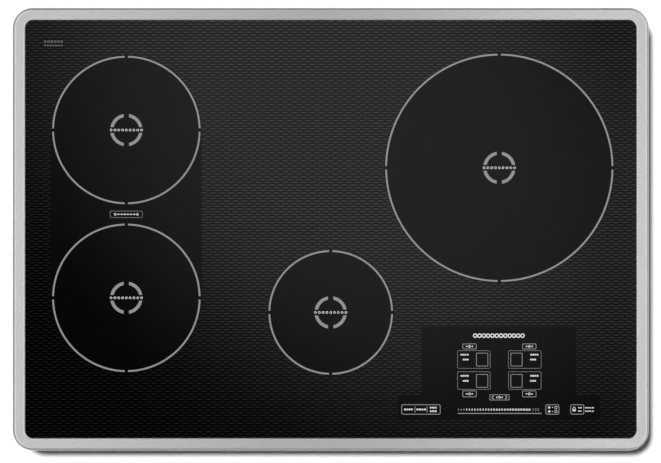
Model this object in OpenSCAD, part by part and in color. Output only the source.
// Built-in electric induction cooktop, 30 inch class.
// A glass-ceramic top in a stainless steel trim closes a sheet-steel burner box, which hangs in
// the worktop's cut-out. The box holds four induction coils on springs, two power boards with
// their blowers, a mains filter and a touch board, and two clamps hold it under the worktop.
// Frame: X to the right, Y to the back, Z up. Origin: middle of the burner box's underside.

/* [Overall] */
// Width over the trim
overall_w = 783; // [775:1:790]
// Depth over the trim, front to back
overall_d = 545; // [540:1:550]
// Height from the box's underside to the trim's top
overall_h = 96; // [94:1:100]

/* [Trim and glass] */
// Width of the trim's face, from its outer edge to the glass
trim_face = 15.7; // [15.2:0.1:16.2]
// Corner radius of the trim, seen from above
trim_corner_r = 25; // [24:1:30]
// Radius over the trim's outer top edge
trim_edge_r = 4; // [3:0.5:4.5]
// Thickness of the trim's steel
trim_sheet = 1; // [0.8:0.1:1]
// Thickness of the glass-ceramic
glass_t = 4; // [3.8:0.1:4]
// Distance from the trim's outer edge to the glass's hidden edge
glass_inset = 12; // [11.8:0.1:12.2]

/* [Burner box] */
// Width of the box, which drops into the cut-out
pan_w = 722; // [720:1:724]
// Depth of the box
pan_d = 498; // [494:1:500]
// Thickness of the box's steel
sheet = 1; // [0.8:0.1:1]

/* [Cooking zones] */
// Distance of both left zones from the middle
left_zone_x = -251.5; // [-253:0.5:-250]
// Left rear zone, towards the back
left_rear_y = 122; // [120:0.5:124]
// Left front zone, towards the front
left_front_y = -84.5; // [-86:0.5:-83]
// Centre front zone, towards the front
centre_front_y = -102.5; // [-104:0.5:-101]
// Right rear zone, to the right
right_rear_x = 207.5; // [206:0.5:209]
// Right rear zone, towards the back
right_rear_y = 75.5; // [74:0.5:77]
// Outer radius of the coils in the left zones
left_coil_r = 86; // [84:1:87]
// Outer radius of the coil in the centre front zone
centre_coil_r = 71; // [70:1:72]
// Outer radius of the coil in the right rear zone
right_coil_r = 134; // [132:1:134]

/* [Clamps] */
// Distance of each clamp screw from the middle of the cooktop
clamp_x = 376; // [375:0.5:377]
// Length of the clamp screw under its head
clamp_screw_len = 36.5; // [36:0.5:38]
// How far a clamp rises, which sets the thinnest worktop that it holds
clamp_travel = 23; // [18:1:23]

/* [Hidden] */
$fn = 64;
zone_names = ["left_rear", "left_front", "centre_front", "right_rear"];
// Each zone: centre, outer radius of its coil, number of ferrite bars
zones = [
    [[left_zone_x, left_rear_y], left_coil_r, 9],
    [[left_zone_x, left_front_y], left_coil_r, 9],
    [[0, centre_front_y], centre_coil_r, 6],
    [[right_rear_x, right_rear_y], right_coil_r, 15]
];

// Levels, from the top down
seat_z = overall_h - 10;          // the worktop's surface
gasket_t = 2;
carrier_z = seat_z + gasket_t;
carrier_t = 1.2;
bond_t = 0.8;
glass_z = carrier_z + carrier_t + bond_t;
glass_top_z = glass_z + glass_t;
lip_z = glass_top_z + 0.2;        // the trim's inner lip, just over the glass
skirt_z = seat_z + 0.6;           // the trim's outer skirt stops short of the worktop
pan_top_z = carrier_z - 0.4;

// Coil stack, from the glass down
float_gap = 0.3;
mica_t = 1;
wire_d = 3.2;
wire_pitch = 3.4;
carrier_disc_t = 2;
ferrite_t = 5;
mica_z = glass_z - float_gap - mica_t;
winding_z = mica_z - wire_d;
coil_carrier_z = winding_z - carrier_disc_t;
ferrite_z = coil_carrier_z - ferrite_t;
coil_hole_r = 14;
winding_r_in = 32;
ferrite_r_in = 36;
ferrite_w = 12;
spring_r = 5;
spring_wire_d = 1.6;
spring_inset = 12;
deck_t = 1.2;
deck_z = 58;
deck_top_z = deck_z + deck_t;

// Burner box
pan_corner_r = 8;
pan_bend_r = 3;
wall_screw_z = 80;
side_screw_y = [-180, -60, 60, 180];
front_screw_x = [-270, -90, 90, 270];
post_points = concat([for (x = [-340, 0, 340], y = [-228, 228]) [x, y]], [[-100, 0], [100, 0]]);
post_r = 5;
rail_t = 1.2;
rail_h = 14;
rail_gap = 0.5;

// Fasteners
screw_r = 1.95;
screw_hole_r = 2.1;
screw_head_r = 4;
screw_head_h = 2.2;
screw_len = 8;

// Clamps
clamp_r = 3;
clamp_hole_r = 3.06;
clamp_head_r = 5.5;
clamp_head_h = 4;
clamp_foot_z = 2.5;
clamp_tip_r = 2;
clamp_tip_h = 3;
pad_r = 8;
pad_t = 4;
bracket_t = 2.5;
bracket_w = 40;
bracket_z = clamp_foot_z + clamp_head_h + clamp_travel + 0.5;
bracket_h = 44;
bracket_out = 26;
bracket_screw_z = 62;
bracket_screw_y = 12;
weld_nut_h = 5;

// Blowers
blower = [285, 165];              // axis of the right blower; the left one mirrors it
blower_h = 35;
blower_wall = 2;
scroll_r = 50;
blower_inlet_r = 34;
impeller_r = 42;
impeller_top_z = 30;
impeller_low_z = 7;
impeller_disc_t = 1.5;
blade_n = 24;
blade_len = 13;
rotor_r = 19;
stator_r = 16;
axle_r = 2;
axle_bore_r = 2.06;

// Boards
board_t = 1.6;
board_z = 9;
board_top_z = board_z + board_t;
power_board = [200, 180];
power_board_x = 235;
heatsink = [70, 140, 38];
heatsink_x = 262;               // in line with the blower's outlet
capacitor_h = 25;
fin_n = 12;
fin_t = 1.6;
inlet = [60, 28];                 // X and Z of the mains inlet in the back wall
inlet_r = 9;
inlet_tube_r = 12;
inlet_flange_r = 16;
inlet_len = 14;

// Touch panel, as two joined blocks under the glass: centre X, centre Y, width, depth
touch_blocks = [[207, -163, 186, 84], [207, -219.5, 244, 31]];
touch_z = glass_z - 5.6;
tray_depth = 6;
display_x = [186, 228];
display_y = [-162, -188];

// Wires: where each zone's pair of coil leads starts on its power board
lead_r = 1.6;
lead_gap = 6;
lead_hole_r = 13;
lead_starts = [[-158, 28], [-158, -45], [158, -45], [158, 28]];
ribbon_hole = [170, -145];
splice_z = deck_top_z + 10;
wire_r = 1.2;

// A circular arc as points, for outlines
function arc(c, r, a0, a1, n = 8) =
    [for (i = [0:n]) let (a = a0 + (a1 - a0) * i / n) c + r * [cos(a), sin(a)]];

function zone_centre(z) = z[0];
function zone_r(z) = z[1];
function zone_bars(z) = z[2];
function spring_angles(z) = [for (k = [0:2]) 180 / zone_bars(z) + 120 * k];
function spring_place(z, a) = zone_centre(z) + (zone_r(z) - spring_inset) * [cos(a), sin(a)];

// ---- Shapes that repeat ----

module rounded_rect(w, d, r) {
    square([w - 2 * r, d], center = true);
    square([w, d - 2 * r], center = true);
    for (x = [-1, 1], y = [-1, 1]) translate([x * (w / 2 - r), y * (d / 2 - r)]) circle(r);
}

module plate(w, d, r, z, t) {
    translate([0, 0, z]) linear_extrude(t) rounded_rect(w, d, r);
}

module ring(r_out, r_in, z, h) {
    translate([0, 0, z]) linear_extrude(h) difference() {
        circle(r_out);
        circle(r_in);
    }
}

// Sweeps a section round a w by d loop. The section's X is 0 at the loop's outer edge and grows
// outwards, and its Y is the height.
module frame_loop(w, d, r) {
    for (i = [0:3]) {
        span = i % 2 == 0 ? [w, d] : [d, w];
        rotate(90 * i) {
            translate([span[0] / 2, span[1] / 2 - r, 0])
                rotate([90, 0, 0]) linear_extrude(span[1] - 2 * r) children();
            translate([span[0] / 2 - r, span[1] / 2 - r, 0])
                rotate_extrude(angle = 90) translate([r, 0]) children();
        }
    }
}

// A pan-head screw: its seat is at Z 0, its head is above and its shank below.
module case_screw() {
    difference() {
        cylinder(r = screw_head_r, h = screw_head_h);
        for (a = [0, 90]) rotate(a) translate([-2.2, -0.4, 1]) cube([4.4, 0.8, screw_head_h]);
    }
    translate([0, 0, -screw_len]) cylinder(r = screw_r, h = screw_len);
}

module at_wall_screws() {
    for (side = [-1, 1]) {
        for (y = side_screw_y)
            translate([side * pan_w / 2, y, wall_screw_z]) rotate([0, side * 90, 0]) children();
        for (x = front_screw_x)
            translate([x, side * pan_d / 2, wall_screw_z]) rotate([-side * 90, 0, 0]) children();
    }
}

module at_bracket_screws(out) {
    for (side = [-1, 1], y = [-1, 1])
        translate([side * (pan_w / 2 + out), y * bracket_screw_y, bracket_screw_z])
            rotate([0, side * 90, 0]) children();
}

module slots(n, pitch, size) {
    for (i = [0:n - 1]) translate([(i - (n - 1) / 2) * pitch, 0, 0]) cube(size, center = true);
}

// Faces of a tube whose points run ring by ring
function tube_faces(rings, sides) = concat(
    [[for (k = [0:sides - 1]) k]],
    [[for (k = [sides - 1:-1:0]) rings * sides + k]],
    [for (i = [0:rings - 1], k = [0:sides - 1])
        let (a = i * sides + k, b = i * sides + (k + 1) % sides)
        [a, a + sides, b + sides, b]]);

// A helical spring from Z 0 to Z h
module helix_spring(r, wire, h, turns = 4, per_turn = 12, sides = 5) {
    rings = turns * per_turn;
    rise = h - wire;
    points = [for (i = [0:rings], k = [0:sides - 1])
        let (a = 360 * i / per_turn, b = 90 - 360 * k / sides, q = r + wire / 2 * cos(b))
        [q * cos(a), q * sin(a), wire / 2 + rise * i / rings + wire / 2 * sin(b)]];
    polyhedron(points, tube_faces(rings, sides), convexity = 8);
}

// A point on the cubic curve through four control points
function curve_point(p, t) = p[0] * pow(1 - t, 3) + 3 * p[1] * t * pow(1 - t, 2)
    + 3 * p[2] * t * t * (1 - t) + p[3] * pow(t, 3);
function unit(v) = v / norm(v);
// The curve's direction at that point
function curve_way(p, t) = unit((p[1] - p[0]) * pow(1 - t, 2) + 2 * (p[2] - p[1]) * t * (1 - t)
    + (p[3] - p[2]) * t * t);
// The level direction square to the way from start to end
function square_to(start, end) = unit([end[1] - start[1], start[0] - end[0], 0]);

// A wire that leaves its start upwards and comes to its end from above, or from below where drop is
// negative. Its first and last rings are wider by a factor, as crimped sleeves.
module wire(start, end, rise, drop, r, sleeve, rings = 14, sides = 6) {
    control = [start, start + [0, 0, rise], end + [0, 0, drop], end];
    points = [for (i = [0:rings], k = [0:sides - 1])
        let (t = i / rings,
             ahead = curve_way(control, t),
             across = unit(cross(ahead, square_to(start, end))),
             side = cross(across, ahead),
             q = (i < 2 || i > rings - 2 ? sleeve : 1) * r,
             a = 360 * k / sides)
        curve_point(control, t) + q * (cos(a) * side + sin(a) * across)];
    polyhedron(points, tube_faces(rings, sides), convexity = 6);
}

// Wires side by side, each shifted square to their route
module wires(n, gap, start, end, rise, drop, r, sleeve) {
    for (i = [0:n - 1]) {
        shift = (i - (n - 1) / 2) * gap * square_to(start, end);
        wire(start + shift, end + shift, rise, drop, r, sleeve);
    }
}

// ---- Top: glass, trim and the frame that carries them ----

module glass_top() color([0.03, 0.03, 0.035])
    plate(overall_w - 2 * glass_inset, overall_d - 2 * glass_inset, trim_corner_r - glass_inset,
          glass_z, glass_t);

// The trim's section: a skirt, a round outer edge, a face that falls slightly and an inner lip.
module trim_section() {
    edge = [-trim_edge_r, overall_h - trim_edge_r];
    inner = -trim_face;
    polygon(concat(
        [[0, skirt_z]],
        arc(edge, trim_edge_r, 0, 90),
        [[inner + 2.4, overall_h - 0.4]],
        arc([inner + 1.9, lip_z - 0.5], 1.9, 80, 155, 5),
        [[inner, lip_z], [inner + 0.9, lip_z], [inner + 2.6, lip_z + 0.5]],
        arc(edge, trim_edge_r - trim_sheet, 90, 0),
        [[-trim_sheet, skirt_z]]));
}

module trim_frame() color([0.75, 0.75, 0.76])
    frame_loop(overall_w, overall_d, trim_corner_r) trim_section();

// Black silicone that holds the glass: under it, round its edge and up to the trim's underside
module glass_seal() color([0.05, 0.05, 0.05])
    frame_loop(overall_w, overall_d, trim_corner_r) {
        difference() {
            union() {
                translate([-2.6 - glass_inset, glass_top_z]) square([5.6, 0.85]);
                translate([-glass_inset, carrier_z + carrier_t]) square([3, glass_top_z - carrier_z]);
                translate([-8 - glass_inset, carrier_z + carrier_t]) square([8.5, bond_t]);
            }
            trim_section();
        }
    }

module carrier_frame() color([0.62, 0.63, 0.64])
    difference() {
        plate(overall_w - 2.6, overall_d - 2.6, trim_corner_r - 1.3, carrier_z, carrier_t);
        plate(pan_w - 24, pan_d - 24, 12, carrier_z - 1, carrier_t + 2);
    }

// Four strips under the carrier, inside the box's walls, which take the box's screws.
module carrier_rails() color([0.62, 0.63, 0.64]) {
    rail_x = pan_w / 2 - sheet - rail_gap - rail_t;
    rail_y = pan_d / 2 - sheet - rail_gap - rail_t;
    difference() {
        for (side = [-1, 1]) {
            translate([side * (rail_x + rail_t / 2), 0, carrier_z - rail_h / 2])
                cube([rail_t, pan_d - 60, rail_h], center = true);
            translate([0, side * (rail_y + rail_t / 2), carrier_z - rail_h / 2])
                cube([pan_w - 60, rail_t, rail_h], center = true);
        }
        at_wall_screws() translate([0, 0, -screw_len]) cylinder(r = screw_hole_r, h = 2 * screw_len);
    }
}

module counter_gasket() color([0.12, 0.12, 0.12])
    frame_loop(overall_w, overall_d, trim_corner_r)
        translate([-14, seat_z]) square([11.5, gasket_t]);

// ---- Burner box ----

module pan_wall_section() {
    bend = [-pan_bend_r, pan_bend_r];
    polygon(concat(
        arc(bend, pan_bend_r, -90, 0, 5),
        [[0, pan_top_z], [-sheet, pan_top_z]],
        arc(bend, pan_bend_r - sheet, 0, -90, 5)));
}

// Round field of slots under a blower
module inlet_grille() {
    for (i = [-3:3]) {
        half = sqrt(pow(blower_inlet_r - 3, 2) - pow(i * 9, 2));
        translate([0, i * 9, 0]) cube([2 * half, 4.5, 3 * sheet], center = true);
    }
}

module base_pan() color([0.72, 0.73, 0.74])
    difference() {
        union() {
            plate(pan_w - 2 * pan_bend_r, pan_d - 2 * pan_bend_r, pan_corner_r - pan_bend_r, 0, sheet);
            frame_loop(pan_w, pan_d, pan_corner_r) pan_wall_section();
        }
        for (side = [-1, 1]) {
            translate([side * blower[0], blower[1], sheet / 2]) inlet_grille();
            translate([side * heatsink_x, -pan_d / 2, 27]) slots(12, 7, [3.5, 4 * sheet, 26]);
            translate([side * heatsink_x, pan_d / 2, 66]) slots(10, 8, [5, 4 * sheet, 8]);
            translate([side * pan_w / 2, -140, 50]) rotate(90) slots(8, 8, [4, 4 * sheet, 30]);
            translate([side * pan_w / 2, 140, 50]) rotate(90) slots(8, 8, [4, 4 * sheet, 30]);
        }
        translate([inlet[0], pan_d / 2, inlet[1]]) rotate([90, 0, 0])
            cylinder(r = inlet_tube_r, h = 4 * sheet, center = true);
        at_wall_screws() cylinder(r = screw_hole_r, h = 4 * sheet, center = true);
        at_bracket_screws(0) cylinder(r = screw_hole_r, h = 4 * sheet, center = true);
    }

module case_screws() color([0.8, 0.8, 0.82]) {
    at_wall_screws() case_screw();
    at_bracket_screws(bracket_t) case_screw();
    for (p = post_points) translate([p[0], p[1], deck_top_z]) case_screw();
}

// ---- Clamps that pull the cooktop down on to the worktop ----

// Drawn for the right side, about the clamp's own place
module bracket() color([0.66, 0.67, 0.68]) {
    wall_x = pan_w / 2;
    difference() {
        union() {
            translate([wall_x, -bracket_w / 2, bracket_z]) cube([bracket_t, bracket_w, bracket_h]);
            translate([wall_x, -bracket_w / 2, bracket_z]) cube([bracket_out, bracket_w, bracket_t]);
            for (y = [-1, 1])
                translate([wall_x + bracket_t, y * (bracket_w / 2 - 1), bracket_z + bracket_t])
                    rotate([90, 0, 0]) linear_extrude(2, center = true)
                        polygon([[0, 0], [14, 0], [0, 12]]);
            translate([clamp_x, 0, bracket_z + bracket_t]) cylinder(r = 5.77, h = weld_nut_h, $fn = 6);
        }
        translate([clamp_x, 0, bracket_z - 1]) cylinder(r = clamp_hole_r, h = 10);
        for (y = [-1, 1]) translate([wall_x - 1, y * bracket_screw_y, bracket_screw_z])
            rotate([0, 90, 0]) cylinder(r = screw_hole_r, h = bracket_t + 2);
    }
}

module clamp_screw() color([0.78, 0.78, 0.8])
    translate([clamp_x, 0, clamp_foot_z]) {
        difference() {
            cylinder(r = clamp_head_r, h = clamp_head_h, $fn = 6);
            translate([-4, -0.6, -1]) cube([8, 1.2, 2.5]);
        }
        translate([0, 0, clamp_head_h]) cylinder(r = clamp_r, h = clamp_screw_len);
        translate([0, 0, clamp_head_h + clamp_screw_len]) cylinder(r = clamp_tip_r, h = clamp_tip_h);
    }

module clamp_pad() color([0.1, 0.1, 0.1]) {
    pad_z = clamp_foot_z + clamp_head_h + clamp_screw_len + float_gap;
    translate([clamp_x, 0, pad_z]) difference() {
        union() {
            cylinder(r = pad_r, h = pad_t);
            translate([0, 0, 0.8]) cylinder(r = pad_r + 0.6, h = pad_t - 1.6);
        }
        translate([0, 0, -1]) cylinder(r = clamp_tip_r + 0.06, h = clamp_tip_h + 1);
    }
}

// ---- Coil deck ----

// Where each zone's leads come up through the deck
function lead_hole(z) = [zone_centre(z)[0], zone_centre(z)[1] - 26];

module coil_deck() color([0.8, 0.81, 0.82])
    difference() {
        plate(pan_w - 10, pan_d - 10, 6, deck_z, deck_t);
        for (p = post_points) translate(p) cylinder(r = screw_hole_r, h = overall_h);
        for (z = zones)
            translate(lead_hole(z)) cylinder(r = lead_hole_r, h = overall_h);
        translate(ribbon_hole) cylinder(r = lead_hole_r, h = overall_h);
    }

module deck_posts() color([0.7, 0.7, 0.72])
    for (p = post_points) translate([p[0], p[1], sheet]) difference() {
        cylinder(r = post_r, h = deck_z - sheet, $fn = 6);
        translate([0, 0, deck_z - sheet - 12]) cylinder(r = 2, h = 13);
    }

// Temperature sensors, which stand on the deck and touch the glass through the coils' middles
module pan_sensors() color([0.85, 0.85, 0.8])
    for (z = zones) translate([zone_centre(z)[0], zone_centre(z)[1], deck_top_z]) {
        cylinder(r = 9, h = 2);
        cylinder(r = 3.5, h = glass_z - deck_top_z - 6);
        translate([0, 0, glass_z - deck_top_z - 7]) cylinder(r = 6, h = 7);
    }

// Litz leads from the power boards up through the deck, with a crimped sleeve at each end
module coil_leads() color([0.75, 0.35, 0.2])
    for (i = [0:3]) {
        start = [lead_starts[i][0], lead_starts[i][1], board_top_z];
        end = [lead_hole(zones[i])[0], lead_hole(zones[i])[1], splice_z];
        wires(2, lead_gap, start, end, 50, -40, lead_r, 1.5);
    }

// Finer wires: mains to the filter and the power boards, blower leads and the touch board's cable
module wiring_harness() color([0.15, 0.2, 0.5]) {
    for (i = [-1:1])
        wire([110 + i * 18, 203, 15], [32, 190 - i * 7, board_top_z], 36 + i * 8, 24, wire_r, 1.8);
    for (side = [-1, 1]) {
        // Mains from the filter to the power board
        wires(2, 5, [side * 30 - 10, 136, board_top_z], [side * 150, 82, board_top_z], 22, 22, wire_r, 1.8);
        // Blower lead
        wires(2, 5, [side * (blower[0] - 18), blower[1] + 10, sheet + blower_h],
              [side * 176, 80, board_top_z], 12, 34, wire_r, 1.8);
    }
    wires(3, 2.8, [145, -80, board_top_z], [ribbon_hole[0], ribbon_hole[1], touch_z - tray_depth],
          34, -40, wire_r, 1.05);
}

// ---- Induction coils, one unit for each zone ----

module coil_carrier(z) color([0.78, 0.79, 0.8])
    translate([zone_centre(z)[0], zone_centre(z)[1], coil_carrier_z]) {
        ring(zone_r(z), coil_hole_r, 0, carrier_disc_t);
        // Collar inside the winding
        ring(winding_r_in - 3, winding_r_in - 5, carrier_disc_t, wire_d - 0.2);
    }

// Turns of litz wire, tied by a thin web of varnish
module winding(z) color([0.72, 0.42, 0.22]) {
    turns = floor((zone_r(z) - 3 - winding_r_in) / wire_pitch);
    translate([zone_centre(z)[0], zone_centre(z)[1], winding_z + wire_d / 2]) rotate_extrude() {
        for (i = [0:turns - 1])
            translate([winding_r_in + wire_d / 2 + i * wire_pitch, 0]) circle(d = wire_d);
        translate([winding_r_in + wire_d / 2, -0.5]) square([(turns - 1) * wire_pitch, 1]);
    }
}

module ferrites(z) color([0.2, 0.2, 0.21])
    for (i = [0:zone_bars(z) - 1])
        translate([zone_centre(z)[0], zone_centre(z)[1], ferrite_z])
            rotate(360 * i / zone_bars(z)) translate([ferrite_r_in, -ferrite_w / 2, 0])
                cube([zone_r(z) - ferrite_r_in - 5, ferrite_w, ferrite_t]);

module mica(z) color([0.8, 0.76, 0.66])
    translate([zone_centre(z)[0], zone_centre(z)[1], 0]) ring(zone_r(z), coil_hole_r, mica_z, mica_t);

module springs(z) color([0.7, 0.7, 0.72])
    for (a = spring_angles(z))
        translate([spring_place(z, a)[0], spring_place(z, a)[1], deck_top_z])
            helix_spring(spring_r, spring_wire_d, coil_carrier_z - deck_top_z);

// ---- Power electronics ----

module power_board() color([0.1, 0.35, 0.2])
    translate([power_board_x, 0, board_z + board_t / 2])
        cube([power_board[0], power_board[1], board_t], center = true);

module heatsink() color([0.75, 0.76, 0.77])
    translate([heatsink_x, 0, board_top_z]) {
        translate([-heatsink[0] / 2, -heatsink[1] / 2, 0]) cube([heatsink[0], heatsink[1], 6]);
        translate([-heatsink[0] / 2, -heatsink[1] / 2, 0]) cube([5, heatsink[1], heatsink[2]]);
        for (i = [1:fin_n - 1])
            translate([-heatsink[0] / 2 + i * (heatsink[0] - fin_t) / (fin_n - 1), -heatsink[1] / 2, 0])
                cube([fin_t, heatsink[1], heatsink[2]]);
    }

module power_transistors() color([0.12, 0.12, 0.13])
    for (side = [-1, 1], y = [-48, -16, 16, 48])
        translate([side * (heatsink_x - heatsink[0] / 2 - 2.5), y, board_top_z + 20])
            cube([5, 16, 21], center = true);

module capacitors() {
    for (side = [-1, 1]) {
        color([0.25, 0.3, 0.35]) for (y = [-60, -35])
            translate([side * 200, y, board_top_z + capacitor_h / 2])
                cube([32, 18, capacitor_h], center = true);
        color([0.1, 0.1, 0.12]) for (y = [40, 68])
            translate([side * 205, y, board_top_z]) cylinder(r = 11, h = capacitor_h);
    }
}

module choke(r, wire_r, h) {
    rotate_extrude() translate([r, h / 2]) square([2 * wire_r, h], center = true);
}

module chokes() color([0.7, 0.4, 0.2])
    for (side = [-1, 1], y = [-5, 60])
        translate([side * 158, y, board_top_z]) choke(10, 5, 14);

module board_standoffs() color([0.85, 0.85, 0.8]) {
    for (side = [-1, 1], x = [-1, 1], y = [-1, 1])
        translate([side * power_board_x + x * (power_board[0] / 2 - 8), y * (power_board[1] / 2 - 8), sheet])
            cylinder(r = 4, h = board_z - sheet);
    for (x = [-52, 32], y = [138, 192]) translate([x, y, sheet]) cylinder(r = 4, h = board_z - sheet);
}

module filter_board() {
    color([0.1, 0.35, 0.2]) translate([-10, 165, board_z + board_t / 2])
        cube([100, 70, board_t], center = true);
    color([0.3, 0.3, 0.32]) translate([-30, 165, board_top_z]) cylinder(r = 16, h = 22);
    color([0.9, 0.75, 0.2]) translate([15, 165, board_top_z + 10]) cube([16, 40, 20], center = true);
}

module terminal_block() color([0.88, 0.88, 0.85])
    translate([110, 195, sheet]) difference() {
        translate([-30, -12, 0]) cube([60, 24, 24]);
        for (i = [-1:1]) translate([i * 18, 0, 14]) {
            translate([-6, -13, 0]) cube([12, 26, 11]);
        }
    }

// Flanged bushing in the back wall, where the supply conduit enters
module inlet_bushing() color([0.15, 0.15, 0.16])
    translate([inlet[0], pan_d / 2, inlet[1]]) rotate([-90, 0, 0]) difference() {
        union() {
            cylinder(r = inlet_flange_r, h = 3);
            translate([0, 0, 3 - inlet_len]) cylinder(r = inlet_tube_r - 0.1, h = inlet_len);
            translate([0, 0, -sheet - 5]) cylinder(r = 15, h = 5, $fn = 6);
        }
        translate([0, 0, 2 - inlet_len]) cylinder(r = inlet_r, h = inlet_len + 2);
    }

// ---- Blowers ----

// The scroll seen from above, with its outlet towards the front
module scroll(shrink = 0) {
    circle(scroll_r - shrink);
    translate([-scroll_r + shrink, -scroll_r - 8]) square([scroll_r - 2 * shrink, scroll_r + 8]);
}

module blower_housing() color([0.2, 0.2, 0.21])
    translate([blower[0], blower[1], sheet]) difference() {
        linear_extrude(blower_h) scroll();
        translate([0, 0, blower_wall]) linear_extrude(blower_h - 2 * blower_wall) scroll(blower_wall);
        translate([-scroll_r + blower_wall, -scroll_r - 9, blower_wall])
            cube([scroll_r - 3 * blower_wall, 4, blower_h - 2 * blower_wall]);
        translate([0, 0, -1]) cylinder(r = blower_inlet_r, h = blower_wall + 2);
    }

// Stator and its fixed axle, hung from the housing's roof
module blower_motor() color([0.7, 0.68, 0.6])
    translate([blower[0], blower[1], 0]) {
        stator_z = impeller_low_z + 5;
        translate([0, 0, stator_z]) cylinder(r = stator_r, h = sheet + blower_h - blower_wall - stator_z);
        translate([0, 0, impeller_low_z - 1.5]) cylinder(r = axle_r, h = 7);
        // Clip that keeps the impeller on its axle
        translate([0, 0, impeller_low_z - 1.2]) cylinder(r = axle_r + 1.5, h = 0.8);
    }

module impeller() color([0.1, 0.1, 0.11])
    translate([blower[0], blower[1], 0]) {
        rotor_h = impeller_top_z - impeller_low_z;
        ring(impeller_r, rotor_r - 1, impeller_top_z - impeller_disc_t, impeller_disc_t);
        ring(rotor_r, rotor_r - 1.5, impeller_low_z, rotor_h - 0.5);
        ring(rotor_r - 1, axle_bore_r, impeller_low_z, 2);
        ring(impeller_r, impeller_r - 2.4, impeller_low_z + 0.5, 2);
        // Blades, from inside the lower ring to inside the disc
        for (i = [0:blade_n - 1])
            rotate(360 * i / blade_n) translate([impeller_r - 1, 0, impeller_low_z + 1.2])
                rotate(145) cube([blade_len, 1, rotor_h - 2]);
    }

// ---- Touch controls, under the glass ----

module touch_outline(grow = 0) {
    for (b = touch_blocks)
        translate([b[0], b[1]]) square([b[2] + 2 * grow, b[3] + 2 * grow], center = true);
}

module touch_board() color([0.08, 0.3, 0.18])
    translate([0, 0, touch_z]) linear_extrude(board_t) touch_outline(-2);

module touch_tray() color([0.15, 0.15, 0.16]) {
    difference() {
        translate([0, 0, touch_z - tray_depth]) linear_extrude(tray_depth + board_t) touch_outline();
        translate([0, 0, touch_z - tray_depth + 1.6]) linear_extrude(overall_h) touch_outline(-1.8);
    }
    for (p = [[95, -226], [95, -212], [319, -226], [319, -212], [122, -135], [292, -135]])
        translate([p[0], p[1], deck_top_z]) cylinder(r = 4, h = touch_z - tray_depth - deck_top_z);
}

// Sprung contacts that carry the finger's signal from the glass to the board
module touch_springs() color([0.75, 0.75, 0.77]) {
    z = touch_z + board_t;
    for (x = [100, 116, 132, 297, 322]) translate([x, -218, z]) cylinder(r = 4, h = glass_z - z);
    for (x = [156:10:258]) translate([x, -218, z]) cylinder(r = 3.2, h = glass_z - z);
    for (x = [163, 251], y = [-137, -211 + 8])
        translate([x, y, z]) cylinder(r = 4, h = glass_z - z);
}

module displays() color([0.15, 0.05, 0.05])
    for (x = display_x, y = display_y)
        translate([x, y, touch_z + board_t + 1.8]) cube([14, 16, 3.6], center = true);

// ---- Nodes ----

glass_top();
trim_frame();
glass_seal();
carrier_frame();
carrier_rails();
counter_gasket();
base_pan();
case_screws();
bracket();  // bracket_right
rotate(180) bracket();  // bracket_left
clamp_screw();  // clamp_screw_right
rotate(180) clamp_screw();  // clamp_screw_left
clamp_pad();  // clamp_pad_right
rotate(180) clamp_pad();  // clamp_pad_left
coil_deck();
deck_posts();
pan_sensors();
coil_leads();
wiring_harness();
power_board();  // power_board_right
mirror([1, 0, 0]) power_board();  // power_board_left
heatsink();  // heatsink_right
mirror([1, 0, 0]) heatsink();  // heatsink_left
power_transistors();
capacitors();
chokes();
board_standoffs();
blower_housing();  // blower_housing_right
mirror([1, 0, 0]) blower_housing();  // blower_housing_left
blower_motor();  // blower_motor_right
mirror([1, 0, 0]) blower_motor();  // blower_motor_left
impeller();  // impeller_right
mirror([1, 0, 0]) impeller();  // impeller_left
filter_board();
terminal_block();
inlet_bushing();
touch_board();
touch_tray();
touch_springs();
displays();
for (i = [0:3]) {
    coil_carrier(zones[i]);
    winding(zones[i]);
    ferrites(zones[i]);
    mica(zones[i]);
    springs(zones[i]);
}
